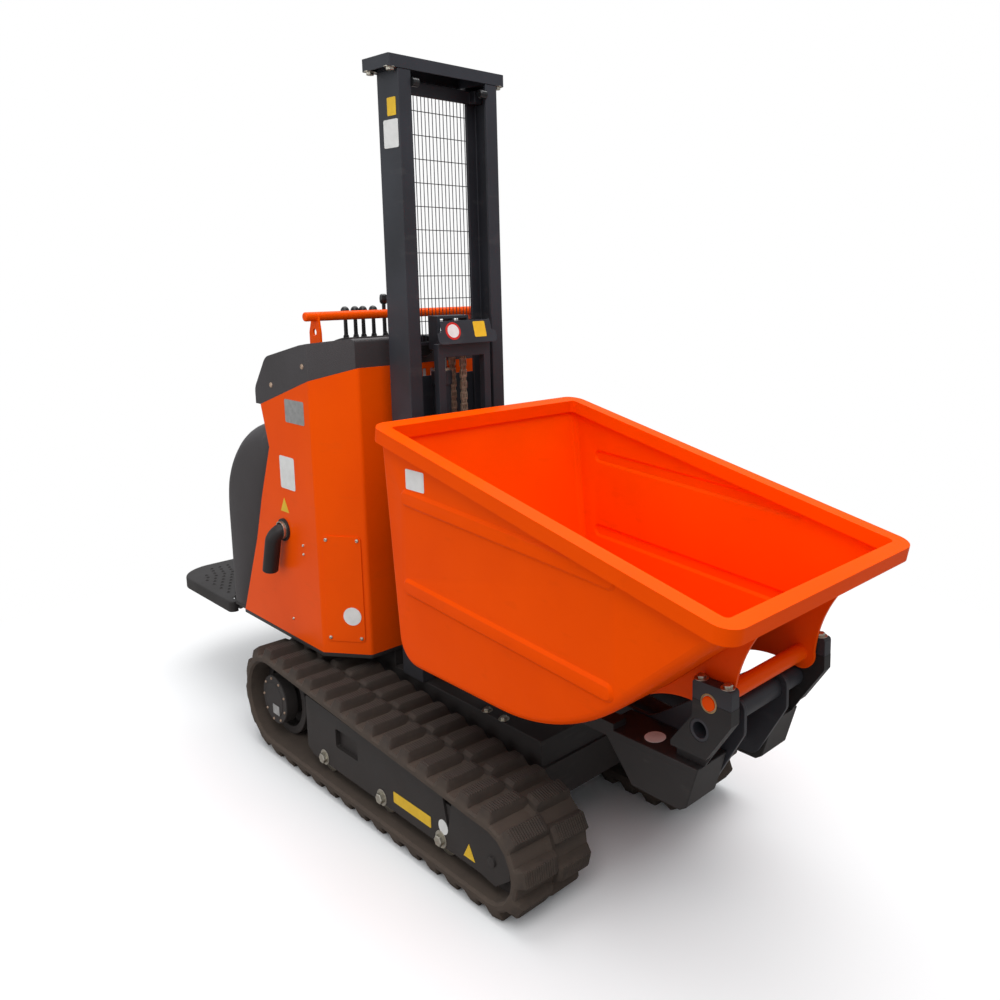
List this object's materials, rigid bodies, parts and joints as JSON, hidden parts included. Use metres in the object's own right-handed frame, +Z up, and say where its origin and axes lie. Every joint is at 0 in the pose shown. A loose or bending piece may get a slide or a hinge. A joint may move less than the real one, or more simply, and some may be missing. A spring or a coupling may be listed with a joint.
{
  "type": "tracked site dumper",
  "caption": "A small rubber-tracked site dumper with a mast that lifts a forward-tipping skip and a folding platform for the rider behind",
  "frame": {"origin": "on the ground under the middle of the machine's bounding box", "axes": "+Y is backward along the machine, -Y is forward towards the skip's lip, +X is the machine's left side and +Z is up"},
  "size_m": [0.79, 2.643, 2.008],
  "materials": {
    "orange_paint": "satin orange paint",
    "skip_paint": "satin orange paint, redder inside",
    "black_paint": "satin black-grey paint",
    "black_plastic": "textured black plastic",
    "track_rubber": "moulded rubber, dusty",
    "zinc_steel": "zinc-plated steel",
    "hard_chrome": "chromed rod",
    "chain_steel": "oiled leaf chain",
    "bush_bronze": "tan bearing bushing",
    "engine_grey": "plain dark block",
    "sign_white": "grey-white painted plate"
  },
  "bodies": {
    "chassis": {"chassis": "black_paint", "track_l": "track_rubber", "track_r": "track_rubber", "track_frame_l": "black_paint", "track_frame_r": "black_paint", "drive_motor_l": "black_paint", "drive_motor_r": "black_paint", "idlers": "black_paint", "track_rollers": "zinc_steel", "engine_block": "engine_grey", "pod_body": "orange_paint", "console_cover": "black_plastic", "rear_shroud": "black_plastic", "hatch_panels": "orange_paint", "exhaust": "zinc_steel", "handlebar": "orange_paint", "levers": "black_plastic", "mast_post_l": "black_paint", "mast_post_r": "black_paint", "mast_cap": "black_paint", "mast_crossbar": "black_paint", "mast_guard": "black_paint", "lift_cylinder": "black_paint"},
    "crosshead": {"lift_rod": "hard_chrome", "crosshead": "black_paint", "chain_pulley": "zinc_steel", "chain_rear": "chain_steel"},
    "carriage": {"carriage": "black_paint", "carriage_rollers": "zinc_steel", "backrest": "black_paint", "sign_plate": "sign_white", "arm_l": "black_paint", "arm_r": "black_paint", "bearing_caps": "black_paint", "bushings": "bush_bronze", "crosstube": "black_paint", "centre_plates": "black_paint", "chain_front": "chain_steel"},
    "tip_barrel": {"tip_barrel": "black_paint"},
    "tip_rod": {"tip_rod": "hard_chrome"},
    "skip": {"skip_shell": "skip_paint", "skip_brackets": "orange_paint", "skip_pins": "zinc_steel"},
    "footboard": {"footboard": "black_paint"}
  },
  "joints": [
    {"name": "mast_lift", "type": "slide", "parent": "chassis", "child": "crosshead", "axis": [0, 0, 1], "range_m": [0, 0.5], "deforming": ["chain_rear"]},
    {"name": "carriage_lift", "type": "slide", "parent": "crosshead", "child": "carriage", "axis": [0, 0, 1], "range_m": [0, 0.5], "deforming": ["chain_front"]},
    {"name": "skip_tip", "type": "hinge", "parent": "carriage", "child": "skip", "pos_m": [0, -1.147, 0.605], "axis": [1, 0, 0], "range_deg": [0, 80]},
    {"name": "tip_swing", "type": "hinge", "parent": "carriage", "child": "tip_barrel", "pos_m": [0, -1.04, 0.396], "axis": [1, 0, 0], "range_deg": [0, 74]},
    {"name": "tip_extend", "type": "slide", "parent": "tip_barrel", "child": "tip_rod", "axis": [0, 0.996, 0.0889], "range_m": [0, 0.2925]},
    {"name": "footboard_fold", "type": "hinge", "parent": "chassis", "child": "footboard", "pos_m": [0, 0.862, 0.318], "axis": [1, 0, 0], "range_deg": [0, 85]}
  ],
  "couplings": [
    {"joint": "carriage_lift", "follows": "mast_lift", "ratio": 1},
    {"joint": "tip_swing", "follows": "skip_tip", "ratio": 0.9217},
    {"joint": "tip_extend", "follows": "skip_tip", "m_per_rad": 0.20927}
  ]
}
